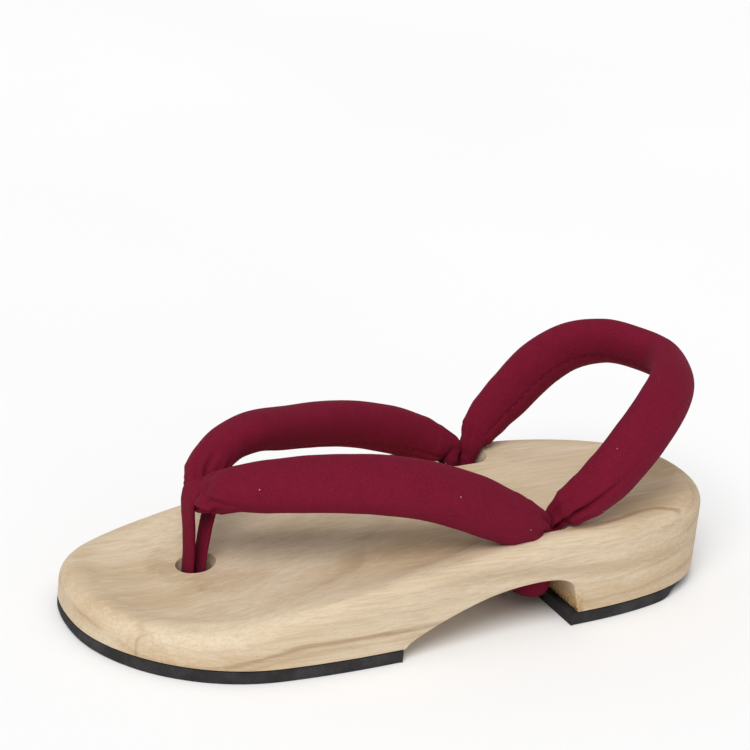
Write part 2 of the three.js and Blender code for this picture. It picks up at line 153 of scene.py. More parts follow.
# the toe loop's band, from one end in the front hole over the thong to the other: y, z,
# half width, half thickness; then the point round which it bends
TOE_LOOP = [
    (43.4, 8.0, 4.2, 1.5), (43.3, 20.0, 4.3, 1.5), (42.6, 30.0, 4.4, 1.5), (41.9, 36.5, 4.7, 1.5),
    (41.7, 40.4, 5.2, 1.5), (42.6, 44.0, 5.5, 1.5), (45.6, 46.0, 5.4, 1.5), (48.9, 44.2, 5.2, 1.5),
    (50.0, 40.4, 4.9, 1.5), (49.6, 36.5, 4.6, 1.5), (48.6, 30.0, 4.4, 1.5), (47.7, 20.0, 4.3, 1.5),
    (47.6, 8.0, 4.2, 1.5),
]
TOE_LOOP_CORE = Vector((-4.0, 45.7, 40.8))

# Folds, listed one by one. Each row has how far it moves the cloth outwards, how wide it is and
# its course, as distances along the strap and angles round it in degrees: 0 is the outer edge
# and 90 the side that faces away from the foot. It fades out towards its last point.
THONG_FOLDS = [
    (-2.0, 0.9, [(140, 336), (134.7, 334), (130.1, 332), (125, 334)]),
    (-0.8, 1.0, [(138, 352), (128.5, 360), (123.4, 352), (112, 350)]),
    (-0.8, 0.8, [(131, 306), (124, 300), (118.7, 322)]),
    (1.6, 2.2, [(139.5, 344), (133, 346), (124, 346)]),
    (-1.6, 3.0, [(138.5, 50), (131, 46), (124, 46)]),
    (-0.6, 1.0, [(136, 90), (127, 80), (118, 84)]),
    (-0.9, 1.0, [(144.5, 150), (151, 141), (161, 150)]),
    (-0.7, 1.0, [(144.5, 112), (153, 106), (165, 114)]),
    (-0.9, 1.0, [(144.5, 200), (153, 206), (163, 196)]),
    (-0.8, 1.0, [(144.5, 30), (153, 24), (164, 34)]),
    (-1.1, 0.9, [(8.0, 110), (11.6, 102), (15.5, 107)]),
    (-0.8, 0.9, [(8.0, 60), (13.0, 54), (21.0, 62)]),
    (-0.7, 0.9, [(8.0, 16), (14.0, 12), (22.0, 20)]),
    (-0.7, 0.9, [(8.0, 326), (14.0, 334), (20.0, 326)]),
    (-1.0, 0.9, [(267, 112), (263.4, 104), (258.0, 109)]),
    (-0.8, 1.0, [(267, 160), (262.0, 167), (253.0, 158)]),
    (-0.7, 1.0, [(267, 60), (262.0, 52), (254.0, 58)]),
    (-0.7, 1.0, [(267, 12), (261.0, 20), (254.0, 14)]),
]
LATERAL_HEEL_FOLDS = [
    (-2.5, 0.95, [(94.0, 78), (89.9, 74), (83.9, 90), (77.9, 92), (66.0, 88), (44.0, 82)]),
    (-1.3, 0.8, [(94.0, 60), (89.5, 60), (85.1, 68), (77.0, 60)]),
    (0.7, 1.3, [(91.0, 76), (84.0, 82), (77.0, 82)]),
    (-0.9, 1.0, [(94.0, 24), (88.0, 17), (77.0, 24)]),
    (-0.8, 0.9, [(94.0, 342), (87.0, 336), (79.0, 346)]),
    (-0.9, 1.0, [(94.0, 128), (87.0, 135), (75.0, 127)]),
    (-0.7, 0.9, [(94.0, 190), (87.0, 198), (79.0, 190)]),
]
MEDIAL_HEEL_FOLDS = [
    (-1.6, 1.1, [(94.0, 86), (88.5, 80), (81.0, 93), (71.0, 90), (60.0, 95)]),
    (-0.9, 0.9, [(94.0, 60), (88.0, 66), (80.0, 56)]),
    (-0.9, 1.0, [(94.0, 20), (86.0, 28), (77.0, 20)]),
    (-0.9, 1.0, [(94.0, 140), (86.0, 133), (76.0, 142)]),
    (-0.7, 0.9, [(94.0, 196), (88.0, 204), (80.0, 196)]),
    (-0.8, 0.9, [(94.0, 332), (87.0, 340), (79.0, 330)]),
]

# the seam along the side of a strap that faces the foot: its groove, the half widths of strap
# between which that opens, how deep the stitches lie, and the lengths left unsewn at a hole, on
# either side of the toe loop and at the heel strap's narrowest place
SEAM_ANGLE = math.radians(270)
SEAM_DEPTH = 0.6
SEAM_WIDTH = 0.8
SEAM_OPENS = (5.5, 7.5)
STITCH_SINK = 0.45
UNSEWN_HOLE = 24.0
UNSEWN_TOE = (20.0, 18.0)
UNSEWN_HEEL = 22.0

# edges that bend further than this are drawn sharp
WOOD_CREASE = math.radians(35)
RUBBER_CREASE = math.radians(30)
CLOTH_CREASE = math.radians(80)


def read_column(rows, column, y):
    """A column of a table at y, along a smooth curve through its rows."""
    last = len(rows) - 1
    i = min(max(bisect.bisect_right([row[0] for row in rows], y) - 1, 0), last - 1)

    def slope(k):
        before, after = rows[max(k - 1, 0)], rows[min(k + 1, last)]
        return (after[column] - before[column]) / (after[0] - before[0])

    span = rows[i + 1][0] - rows[i][0]
    t = (y - rows[i][0]) / span
    start = (1 + 2 * t) * (1 - t) ** 2 * rows[i][column] + t * (1 - t) ** 2 * span * slope(i)
    end = t * t * (3 - 2 * t) * rows[i + 1][column] - t * t * (1 - t) * span * slope(i + 1)
    return start + end


def smoothstep(x, low, high):
    """0 below low, 1 above high and a smooth rise between them."""
    t = min(max((x - low) / (high - low), 0.0), 1.0)
    return t * t * (3 - 2 * t)


def end_rounding(y):
    """How far the round toe and heel draw the sides in at y, from 0 at the tips to 1."""
    share = 1.0
    for distance, (length, power) in ((y, TOE_CAP), (LENGTH - y, HEEL_CAP)):
        short = max(0.0, 1 - distance / length)
        share *= max(0.0, 1 - short ** power) ** (1 / power)
    return share


def outline_stations(extra=()):
    """Distances from the toe tip, close together at the tips and at the extra stretches."""
    steps = 150
    stations = {round(LENGTH * (1 - math.cos(math.pi * i / steps)) / 2, 4) for i in range(steps + 1)}
    for low, high, step in extra:
        count = round((high - low) / step)
        stations = {s for s in stations if not low - step < s < high + step}
        stations |= {round(low + k * step, 4) for k in range(count + 1)}
    return sorted(stations)


def outline(stations, sawn_off=False):
    """The outline from one tip down the lateral side to the other tip, or to a straight end
    where it is sawn off, and back up the medial side."""
    lateral = [(read_column(WIDTHS, 1, y) * end_rounding(y), y) for y in stations]
    returning = stations[1:] if sawn_off else stations[1:-1]
    medial = [(-read_column(WIDTHS, 2, y) * end_rounding(y), y) for y in returning]
    return lateral + medial[::-1]


def inset(points, distance):
    """The outline moved inwards; distance is a number or a function of y."""
    moved = []
    for i, (x, y) in enumerate(points):
        before, after = points[i - 1], points[(i + 1) % len(points)]
        along = Vector((after[0] - before[0], after[1] - before[1])).normalized()
        amount = distance(y) if callable(distance) else distance
        moved.append((x - along.y * amount, y + along.x * amount))
    return moved


EDGE = outline(outline_stations())
BODY_LOW, BODY_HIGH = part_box("wooden_body")
SHIFT = Vector((
    (BODY_LOW.x + BODY_HIGH.x) / 2 - (max(p[0] for p in EDGE) + min(p[0] for p in EDGE)) / 2 * MM,
    BODY_LOW.y,
    0.0,
))


def place(x, y, z):
    """A point of the sandal in the frame, in metres."""
    return Vector((x, y, z)) * MM + SHIFT


# --------------------------------------------------------------------------- mesh helpers

def ladder_cap(first, count, flip):
    """Faces that close a ring from side to side, first being the index of its toe tip."""
    faces = []
    for i in range(count // 2):
        corners = dict.fromkeys((i, i + 1, count - 1 - i, (count - i) % count))
        face = tuple(first + corner for corner in corners)
        faces.append(face if flip else face[::-1])
    return faces


def loft(name, rings, closed=False):
    """A closed mesh object from rings of equally many points in metres."""
    count = len(rings[0])
    points = [p for ring in rings for p in ring]
    faces = []
    for r in range(len(rings) if closed else len(rings) - 1):
        a, b = r * count, (r + 1) % len(rings) * count
        for i in range(count):
            j = (i + 1) % count
            faces.append((a + i, a + j, b + j, b + i))
    if not closed:
        faces += ladder_cap(0, count, False)
        faces += ladder_cap((len(rings) - 1) * count, count, True)
    mesh = bpy.data.meshes.new(name)
    mesh.from_pydata(points, [], faces)
    return add_object(name, mesh)


def add_object(name, mesh):
    piece = bpy.data.objects.new(name, mesh)
    bpy.context.scene.collection.objects.link(piece)
    return piece


def tidy_mesh(piece, crease_angle=WOOD_CREASE):
    """Merges doubles, turns the faces outwards and shades the piece smooth up to an angle."""
    bm = bmesh.new()
    bm.from_mesh(piece.data)
    bmesh.ops.remove_doubles(bm, verts=bm.verts, dist=1e-7)
    bmesh.ops.dissolve_degenerate(bm, edges=bm.edges, dist=1e-7)
    bmesh.ops.recalc_face_normals(bm, faces=bm.faces)
    for face in bm.faces:
        face.smooth = True
    for edge in bm.edges:
        edge.smooth = not (edge.is_manifold and edge.calc_face_angle(0.0) > crease_angle)
    bm.to_mesh(piece.data)
    bm.free()


def apply_modifiers(piece):
    """Turns the evaluated object into its plain mesh."""
    bpy.context.view_layer.update()
    evaluated = piece.evaluated_get(bpy.context.evaluated_depsgraph_get())
    mesh = bpy.data.meshes.new_from_object(evaluated)
    piece.modifiers.clear()
    old = piece.data
    piece.data = mesh
    mesh.name = piece.name
    bpy.data.meshes.remove(old)


def cut(piece, cutters):
    """Cuts the cutters out of the piece and removes them."""
    for cutter in cutters:
        tidy_mesh(cutter)
        modifier = piece.modifiers.new("cut", "BOOLEAN")
        modifier.operation = "DIFFERENCE"
        modifier.solver = "EXACT"
        modifier.object = cutter
    apply_modifiers(piece)
    for cutter in cutters:
        bpy.data.objects.remove(cutter)


def finish_piece(piece, material, nodes):
    """Gives a piece its material, hangs it under the root and hides the parts of the frame that it
    stands in for.
    """
    piece.data.materials.clear()
    piece.data.materials.append(material)
    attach(piece, "root")
    if nodes:
        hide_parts(*nodes)
    return piece


class Path:
    """A smooth curve through the rows of a table, carrying the rows' sizes along it."""

    def __init__(self, rows, closed=False, fine=24):
        self.closed = closed
        points = [Vector(row[:3]) for row in rows]
        sizes = [row[3:] for row in rows]
        if closed:
            framed = [points[-1], *points, points[0], points[1]]
        else:
            framed = [2 * points[0] - points[1], *points, 2 * points[-1] - points[-2]]
        self.points, self.sizes = [], []
        for span in range(len(framed) - 3):
            here, there = sizes[span], sizes[(span + 1) % len(sizes)]
            for k in range(fine):
                share = k / fine
                self.points.append(self.between(framed[span:span + 4], share))
                ease = smoothstep(share, 0.0, 1.0)
                self.sizes.append([a + (b - a) * ease for a, b in zip(here, there)])
        self.points.append(points[0] if closed else points[-1])
        self.sizes.append(list(sizes[0] if closed else sizes[-1]))
        self.marks = [0.0]
        for a, b in zip(self.points, self.points[1:]):
            self.marks.append(self.marks[-1] + (b - a).length)
        self.total = self.marks[-1]

    @staticmethod
    def between(four, share):
        """A point of a centripetal Catmull-Rom curve between the middle two of four points."""
        knots = [0.0]
        for a, b in zip(four, four[1:]):
            knots.append(knots[-1] + max((b - a).length, 1e-6) ** 0.5)
        t = knots[1] + (knots[2] - knots[1]) * share
        level = list(four)
        for lows, highs in ((knots, knots[1:]), (knots, knots[2:]), (knots[1:], knots[2:])):
            level = [a.lerp(b, (t - low) / (high - low))
                     for a, b, low, high in zip(level, level[1:], lows, highs)]
        return level[0]

    def at(self, along):
        """The point and the sizes at a distance along the path."""
        along = along % self.total if self.closed else min(max(along, 0.0), self.total)
        i = min(max(bisect.bisect_right(self.marks, along) - 1, 0), len(self.marks) - 2)
        t = (along - self.marks[i]) / max(self.marks[i + 1] - self.marks[i], 1e-9)
        size = [a + (b - a) * t for a, b in zip(self.sizes[i], self.sizes[i + 1])]
        return self.points[i].lerp(self.points[i + 1], t), size

    def forward(self, along, reach=1.2):
        """The way the path runs at a distance along it."""
        return (self.at(along + reach)[0] - self.at(along - reach)[0]).normalized()

    def spaced(self, step_at):
        """Distances along the path, as far apart as step_at says, the last at its end."""
        marks = [0.0]
        while marks[-1] < self.total:
            marks.append(marks[-1] + step_at(marks[-1]))
        marks = [mark * self.total / marks[-1] for mark in marks]
        return marks[:-1] if self.closed else marks


def fold_depth(folds, along, angle, size):
    """How far the folds move the cloth at a place on a strap, in millimetres."""
    half, thick = size
    per_degree = math.radians(math.hypot(half * math.sin(angle), thick * math.cos(angle)))
    here = math.degrees(angle)

    def turned(a, b):
        return ((b - a + 180.0) % 360.0 - 180.0) * per_degree

    move = 0.0
    for height, wide, course in folds:
        nearest, passed = 4.0 * wide, 0.0
        for i, (a, b) in enumerate(zip(course, course[1:])):
            run, rise = b[0] - a[0], turned(a[1], b[1])
            x, y = along - a[0], turned(a[1], here)
            t = min(max((x * run + y * rise) / (run * run + rise * rise), 0.0), 1.0)
            away = math.hypot(x - t * run, y - t * rise)
            if away < nearest:
                nearest, passed = away, (i + t) / (len(course) - 1)
        q = nearest / wide
        fade = 1.0 - smoothstep(passed, 0.4, 1.0)
        move += height * fade * (math.exp(-q * q) - 0.25 * math.exp(-(q - 2.1) ** 2))
    return move


def band_frame(path, along, core_of):
    """The centre, the way across, the way outwards and the sizes of a strap at a place."""
    centre, size = path.at(along)
    forward = path.forward(along)
    out = centre - core_of(centre)
    out = (out - forward * out.dot(forward)).normalized()
    return centre, out.cross(forward), out, size


def padded_band(name, path, marks, sides, core_of, relief):
    """A padded cloth band along a path. relief(along, angle, size) moves the cloth outwards."""
    rings = []
    for along in marks:
        centre, across, out, size = band_frame(path, along, core_of)
        half, thick = size
        ring = []
        for i in range(sides):
            angle = 2 * math.pi * i / sides
            normal = (across * math.cos(angle) / half + out * math.sin(angle) / thick).normalized()
            point = centre + across * half * math.cos(angle) + out * thick * math.sin(angle)
            ring.append(place(*(point + normal * relief(along, angle, size))))
        rings.append(ring)
    piece = loft(name, rings, path.closed)
    add_band_uv(piece, rings, marks, path.total, path.closed)
    return piece


def add_band_uv(piece, rings, marks, total, closed):
    """UVs in metres: u along the band, v round it."""
    layer = piece.data.uv_layers.new(name="cloth")
    count = len(rings[0])
    girth = max(sum((b - a).length for a, b in zip(ring, ring[1:] + ring[:1])) for ring in rings)
    for face in piece.data.polygons:
        corners = [(v // count, v % count) for v in face.vertices]
        wraps_ring = closed and max(r for r, _ in corners) - min(r for r, _ in corners) > 1
        wraps_side = max(i for _, i in corners) - min(i for _, i in corners) > 1
        for loop, (r, i) in zip(face.loop_indices, corners):
            u = marks[r] + (total if wraps_ring and r == 0 else 0.0)
            side = count if wraps_side and i == 0 else i
            layer.data[loop].uv = (u * MM, side / count * girth)


# ------------------------------------------------------------------------ shader helpers

class Wire:
    """An output socket that can be used in Python sums; each operator adds one Math node."""

    def __init__(self, tree, socket):
        self.tree = tree
        self.socket = socket

    def math(self, operation, *others):
        return self.tree.node("ShaderNodeMath", {"operation": operation}, [self, *others])

    def __add__(self, other):
        return self.math("ADD", other)

    def __sub__(self, other):
        return self.math("SUBTRACT", other)

    def __mul__(self, other):
        return self.math("MULTIPLY", other)

    def __truediv__(self, other):
        return self.math("DIVIDE", other)

    def __radd__(self, other):
        return self.math("ADD", other)

    def __rmul__(self, other):
        return self.math("MULTIPLY", other)

    def __rsub__(self, other):
        return self.tree.node("ShaderNodeMath", {"operation": "SUBTRACT"}, [other, self])

    def __rtruediv__(self, other):
        return self.tree.node("ShaderNodeMath", {"operation": "DIVIDE"}, [other, self])


class Finish:
    """A material under construction."""

    def __init__(self, name):
        self.material = bpy.data.materials.new(name)
        self.material.use_nodes = True
        self.nodes = self.material.node_tree.nodes
        self.links = self.material.node_tree.links
        self.nodes.clear()

    def node(self, kind, settings=None, inputs=(), output=0):
        """Adds a node: its settings first, then the values or links of its sockets."""
        node = self.nodes.new(kind)
        for name, value in (settings or {}).items():
            setattr(node, name, value)
        pairs = inputs.items() if isinstance(inputs, dict) else enumerate(inputs)
        for key, value in pairs:
            if isinstance(value, Wire):
                self.links.new(value.socket, node.inputs[key])
            else:
                node.inputs[key].default_value = value
        return Wire(self, node.outputs[output]) if len(node.outputs) else None

    def position(self):
        """Object coordinates in millimetres from the toe tip."""
        coordinates = self.node("ShaderNodeTexCoord", output="Object")
        moved = self.node("ShaderNodeVectorMath", {"operation": "SUBTRACT"}, [coordinates, tuple(SHIFT)])
        return self.node("ShaderNodeVectorMath", {"operation": "SCALE"}, {0: moved, 3: 1 / MM})

    def axes(self, vector):
        """The three parts of a vector."""
        return [self.node("ShaderNodeSeparateXYZ", inputs=[vector], output=axis) for axis in "XYZ"]

    def vector(self, x, y, z):
        return self.node("ShaderNodeCombineXYZ", inputs=[x, y, z])

    def noise(self, vector, scale, detail=2.0, roughness=0.5):
        inputs = {"Vector": vector, "Scale": scale, "Detail": detail, "Roughness": roughness}
        return self.node("ShaderNodeTexNoise", inputs=inputs)

    def grain(self, axes, stretch, detail=2.0, roughness=0.5):
        """Noise drawn out along the wood; stretch is how fast it changes along each axis."""
        stretched = [axis * factor for axis, factor in zip(axes, stretch)]
        return self.noise(self.vector(*stretched), 1.0, detail, roughness)

    def ease(self, value, low, high, to_low=0.0, to_high=1.0):
        """A smooth rise from to_low at low to to_high at high, and level past them."""
        settings = {"interpolation_type": "SMOOTHSTEP"}
        inputs = {"Value": value, "From Min": low, "From Max": high,
                  "To Min": to_low, "To Max": to_high}
        return self.node("ShaderNodeMapRange", settings, inputs)

    def near(self, value, inner, outer):
        """1 where the value is within inner of zero, easing to 0 at outer."""
        return 1.0 - self.ease(value.math("ABSOLUTE"), inner, outer)

    def within(self, value, start, full, fading, end):
        """A mask that rises from start to full and falls from fading to end."""
        return self.ease(value, start, full) * (1.0 - self.ease(value, fading, end))

    def mix(self, factor, a, b):
        """The colour a, turned into b as far as factor says."""
        low, high = [value if isinstance(value, Wire) else (*value, 1.0) for value in (a, b)]
        return self.node("ShaderNodeMix", {"data_type": "RGBA"}, {0: factor, 6: low, 7: high}, output=2)

    def bump(self, height, distance, strength):
        inputs = {"Strength": strength, "Distance": distance, "Height": height}
        return self.node("ShaderNodeBump", inputs=inputs)

    def output(self, **sockets):
        """Closes the material; the words of a socket's name are joined by underscores."""
        names = {key.replace("_", " "): value for key, value in sockets.items()}
        shader = self.node("ShaderNodeBsdfPrincipled", inputs=names)
        self.node("ShaderNodeOutputMaterial", inputs={"Surface": shader})
        return self.material


# ----------------------------------------------------------------------------- settings

def colour_setting(name, description, default):
    """A colour that a user can change."""
    return bpy.props.FloatVectorProperty(
        name=name, description=description, subtype="COLOR", size=3, min=0.0, max=1.0, default=default)


def angle_setting(name, description, degrees, low=-180.0):
    """An angle that a user can change, given in degrees."""
    return bpy.props.FloatProperty(
        name=name, description=description, subtype="ANGLE", unit="ROTATION",
        min=math.radians(low), max=math.pi, default=math.radians(degrees))


class WoodSettings(bpy.types.PropertyGroup):
    pale: colour_setting("Pale wood", "Colour of the early wood", (0.70, 0.57, 0.405))
    warm: colour_setting("Warm wood", "Colour of the broad warmer bands", (0.56, 0.405, 0.24))
    streak: colour_setting("Streak", "Colour of the brown grain lines", (0.36, 0.235, 0.135))
    bleached: colour_setting("Bleached wood", "Colour of the palest lines", (0.80, 0.69, 0.54))
    knot: colour_setting("Knot", "Colour of the line and knot on the heel's edge", (0.36, 0.19, 0.075))
    splinter: colour_setting("Splinters", "Colour of the frayed lower corner", (0.44, 0.24, 0.045))
    pore: colour_setting("Pores", "Colour of the open pores", (0.30, 0.19, 0.11))
    crack: colour_setting("Crack", "Colour of the fine crack beside the toe", (0.26, 0.16, 0.09))
    glue: colour_setting("Glue", "Colour of the glue pressed out at the treads", (0.03, 0.026, 0.024))
    ring_spacing: bpy.props.FloatProperty(
        name="Ring spacing", description="Distance between growth rings, in millimetres",
        min=2.0, max=20.0, default=7.0)
    edge_ease: bpy.props.FloatProperty(
        name="Edge ease", description="How far the sawn lower edges are eased, in millimetres",
        min=0.1, max=1.5, default=0.5)


class ClothSettings(bpy.types.PropertyGroup):
    colour: colour_setting("Cloth colour", "Colour of the wine red cloth", (0.15, 0.0062, 0.0225))
    lint: colour_setting("Lint", "Colour of the few specks of lint on the cloth", (0.5, 0.36, 0.36))
    thread: bpy.props.FloatProperty(
        name="Thread pitch", description="Distance between threads", subtype="DISTANCE",
        unit="LENGTH", min=0.0002, max=0.002, default=0.00045)
    fill: bpy.props.FloatProperty(
        name="Fill", description="How tightly the straps are stuffed", subtype="FACTOR",
        min=0.0, max=1.0, default=0.75)
    step: bpy.props.FloatProperty(
        name="Step", description="Distance between rings of cloth, in millimetres",
        min=0.4, max=4.0, default=1.1)
    fine_step: bpy.props.FloatProperty(
        name="Fine step", description="Distance between rings near a pinched place, in millimetres",
        min=0.2, max=2.0, default=0.5)
    sides: bpy.props.IntProperty(
        name="Sides", description="Points round each strap", min=16, max=128, default=96)
    stitch_pitch: bpy.props.FloatProperty(
        name="Stitch pitch", description="Distance between seam stitches", subtype="DISTANCE",
        unit="LENGTH", min=0.001, max=0.01, default=0.0034)


class RubberSettings(bpy.types.PropertyGroup):
    colour: colour_setting("Rubber colour", "Colour of the sponge rubber", (0.0225, 0.0206, 0.0208))
    dust: colour_setting("Dust", "Colour of the scuffs on the tread", (0.16, 0.14, 0.12))
    pit_size: bpy.props.FloatProperty(
        name="Pit size", description="Size of the pits in the cut rubber, in millimetres",
        min=0.1, max=3.0, default=0.7)


class StageSettings(bpy.types.PropertyGroup):
    azimuth: angle_setting("Azimuth", "Direction of the camera round the sandal", 61.85)
    elevation: angle_setting("Elevation", "Height of the camera as an angle", 21.28)
    roll: angle_setting("Roll", "Turn of the camera about its own axis", 5.96)
    aim: bpy.props.FloatVectorProperty(
        name="Aim", description="The point that the camera looks at", subtype="TRANSLATION",
        unit="LENGTH", size=3, default=(-0.0292, -0.0003, 0.07075))
    distance: bpy.props.FloatProperty(
        name="Distance", description="Distance of the camera from its aim", subtype="DISTANCE",
        unit="LENGTH", min=0.1, default=0.9566)
    lens: bpy.props.FloatProperty(
        name="Lens", description="Focal length", subtype="DISTANCE_CAMERA", min=10.0, default=132.7)
    dome: bpy.props.FloatProperty(
        name="Dome", description="Strength of the white light all round", min=0.0, default=0.52)
    sun: bpy.props.FloatProperty(
        name="Key light", description="Strength of the soft key light", min=0.0, default=2.08)
    softness: angle_setting("Softness", "Width of the key light as an angle", 32, low=0.0)
    sun_azimuth: angle_setting("Key azimuth", "Direction of the key light round the sandal", 50)
    sun_elevation: angle_setting("Key elevation", "Height of the key light as an angle", 50)
    floor_colour: colour_setting("Floor colour", "Colour of the plain floor", (0.97, 0.97, 0.97))
    floor_reach: bpy.props.FloatProperty(
        name="Floor reach", description="How far the floor runs to each side", subtype="DISTANCE",
        unit="LENGTH", min=1.0, default=8.0)


# ---------------------------------------------------------------------------- materials

def tone(colour, share, lift=0.0):
    """A darker or lighter tone of a colour."""
    return tuple(min(1.0, share * part + lift) for part in colour)


def late_wood(finish, axes, bow, spacing):
    """Mask of the dark part of each growth ring; the rings arch as in a plank sawn off centre."""
    x, _, z = axes
    wander = finish.grain(axes, (0.05, 0.012, 0.05)) - 0.5
    across = x + 5.0
    height = z - bow + (across * across - 57.0 ** 2) / 320.0 + wander * 5.0
    turn = height / spacing
    return finish.within(turn - turn.math("FLOOR"), 0.62, 0.93, 0.94, 1.0)


def wall_streaks(finish, axes, bow, soft):
    """Mask of the brown streaks and the broad darker band along the lateral wall."""
    x, y, z = axes
    below = z - bow + soft * 2.2
    veins = finish.near(below - 0.4, 0.1, 1.5) * 0.75 + finish.near(below + 2.6, 0.1, 1.2) * 0.35
    above = z - 27.0 + finish.ease(y, 120.0, 190.0, 0.0, 7.5) + soft * 4.0
    band = finish.near(above, 0.4, 4.2) * finish.ease(y, 96.0, 130.0)
    streaks = veins * finish.within(y, 26.0, 44.0, 96.0, 132.0) + band * 0.34
    return (streaks * finish.ease(x, 20.0, 36.0)).math("MINIMUM", 0.85)


def heel_marks(finish, axes, soft, frayed):
    """Mask of the brown line and the knot on the heel's lateral edge."""
    x, y, z = axes
    crest = finish.ease(z, 31.0, 33.5) * finish.within(y, 158.0, 168.0, 210.0, 222.0)
    from_line = x - 37.2 + finish.ease(y, 172.0, 206.0, 0.0, 6.8) + soft * 1.6
    spread = finish.near(y - 192.0, 4.0, 12.0) * finish.near(x - 42.5, 0.5, 4.0)
    knot = spread * finish.ease(z, 29.0, 33.0) * finish.ease(frayed, 0.45, 0.55)
    return finish.near(from_line, 0.15, 1.4) * crest * 0.7 + knot * 0.8


def toe_crack(finish, axes):
    """Mask of the fine crack that slants up the wall beside the toe."""
    x, y, z = axes
    line = finish.near(x * 0.87 - 0.5 * y - 21.9, 0.08, 0.34)
    below = (1.0 - finish.ease(z, 12.0, 15.0)) * (1.0 - finish.ease(y, 20.0, 26.0))
    return line * below * finish.ease(x, 10.0, 20.0)


def sanded_wood(settings):
    """Sanded pale wood: bowed growth rings, brown streaks, long fibres and open pores."""
    finish = Finish("sanded_wood")
    position = finish.position()
    axes = finish.axes(position)
    x, y, z = axes
    bow = finish.ease(y, 15.0, 65.0, 2.0, 11.5) - finish.ease(y, 118.0, 188.0, 0.0, 6.5)
    patches = finish.grain(axes, (0.03, 0.01, 0.06), 3.0, 0.55)
    soft = finish.grain(axes, (0.3, 0.03, 0.7), 3.0, 0.6) - 0.5
    lines = finish.grain(axes, (0.55, 0.018, 0.95), 3.0, 0.6)
    fibres = finish.grain(axes, (1.6, 0.035, 1.6), 4.0, 0.6)
    threads = finish.grain(axes, (5.0, 0.16, 5.0), 2.0, 0.55)
    pores = finish.grain(axes, (7.0, 0.55, 7.0), 1.0, 0.5)
    frayed = finish.noise(position, 0.9, 4.0, 0.7)

    late = late_wood(finish, axes, bow, settings.ring_spacing)
    marks = heel_marks(finish, axes, soft, frayed)
    fine = finish.ease(fibres, 0.42, 0.72) * 0.20 + finish.ease(threads, 0.52, 0.78) * 0.14
    corner = finish.within(y, 163.0, 166.5, 169.4, 173.5)
    splinters = corner * (1.0 - finish.ease(z, 6.0, 16.0)) * finish.ease(frayed, 0.43, 0.53)
    teeth = finish.noise(finish.vector(x * 0.8, y * 0.8, 2.0), 1.0, 3.0, 0.6) * 10.5 - z

    colour = finish.mix(finish.ease(patches, 0.35, 0.68), settings.pale, settings.warm)
    for mask, stain in (
        (late * finish.ease(patches, 0.40, 0.62, 0.10, 0.42), settings.streak),
        (wall_streaks(finish, axes, bow, soft), settings.streak),
        (marks, settings.knot),
        (finish.ease(lines, 0.48, 0.66) * 0.26, settings.warm),
        (finish.ease(lines, 0.46, 0.34) * 0.24, settings.bleached),
        (fine, tone(settings.streak, 0.72)),
        (finish.ease(pores, 0.66, 0.76) * 0.30, settings.pore),
        (toe_crack(finish, axes) * 0.32, settings.crack),
        (splinters * 0.9, settings.splinter),
        (corner * finish.ease(teeth, -0.15, 0.25) * 0.9, settings.glue),
    ):
        colour = finish.mix(mask, colour, stain)
    rough = finish.ease(fibres, 0.3, 0.7, 0.50, 0.66)
    dents = finish.ease(pores, 0.64, 0.76) * 0.8
    relief = splinters * frayed * 2.0 + fibres * 0.5 + threads * 0.4 - dents
    normal = finish.bump(relief, 0.00012, 0.55)
    return finish.output(Base_Color=colour, Roughness=rough, Normal=normal,
                         Specular_IOR_Level=0.32)


def wine_cotton(settings):
    """Plain-weave cotton: crossing threads, slubs, soft mottling and a dull sheen."""
    finish = Finish("wine_cotton")
    u, v, _ = finish.axes(finish.node("ShaderNodeUVMap", {"uv_map": "cloth"}))
    position = finish.position()
    turn = 2 * math.pi / settings.thread
    warp = (u * turn).math("SINE")
    weft = (v * turn).math("SINE")
    weave = warp * weft * 0.5 + (warp.math("ABSOLUTE") + weft.math("ABSOLUTE")) * 0.25
    slubs = finish.noise(finish.vector(u * 300.0, v * 2600.0, 0.0), 1.0, 2.0, 0.6)
    slubs_across = finish.noise(finish.vector(u * 2600.0, v * 300.0, 3.0), 1.0, 2.0, 0.6)
    crepe = finish.noise(position, 1.9, 3.0, 0.6)
    mottle = finish.noise(position, 0.16, 3.0, 0.55)
    light = tone(settings.colour, 1.5, 0.004)
    dark = tone(settings.colour, 0.66)
    base = finish.mix(finish.ease(mottle, 0.3, 0.72), tone(settings.colour, 0.9), settings.colour)
    flecks = finish.ease(crepe, 0.35, 0.72) * 0.46 + finish.ease(slubs, 0.5, 0.8) * 0.26
    flecked = finish.mix(flecks + finish.ease(slubs_across, 0.5, 0.8) * 0.18, base, light)
    shaded = finish.mix(finish.ease(weave, 0.0, -0.45) * 0.25, flecked, dark)
    specks = finish.node("ShaderNodeTexVoronoi", {"feature": "F1"}, {"Vector": position, "Scale": 0.125})
    linted = finish.mix(1.0 - finish.ease(specks, 0.018, 0.034), shaded, settings.lint)
    relief = weave * 0.35 + slubs * 0.35 + slubs_across * 0.35 + crepe * 0.9
    normal = finish.bump(relief, 0.00022, 0.6)
    rough = finish.ease(crepe, 0.3, 0.7, 0.80, 0.95)
    return finish.output(Base_Color=linted, Roughness=rough, Normal=normal,
                         Specular_IOR_Level=0.06, Sheen_Weight=0.06, Sheen_Roughness=0.5,
                         Sheen_Tint=(0.8, 0.2, 0.3, 1.0))


def seam_thread(settings):
    """Thread of the seam along the inside of the straps."""
    finish = Finish("seam_thread")
    twist = finish.noise(finish.position(), 3.0, 2.0)
    low, high = tone(settings.colour, 0.6), tone(settings.colour, 1.7)
    colour = finish.mix(finish.ease(twist, 0.3, 0.7), low, high)
    normal = finish.bump(twist, 0.0001, 0.4)
    return finish.output(Base_Color=colour, Roughness=0.7, Normal=normal, Specular_IOR_Level=0.25)


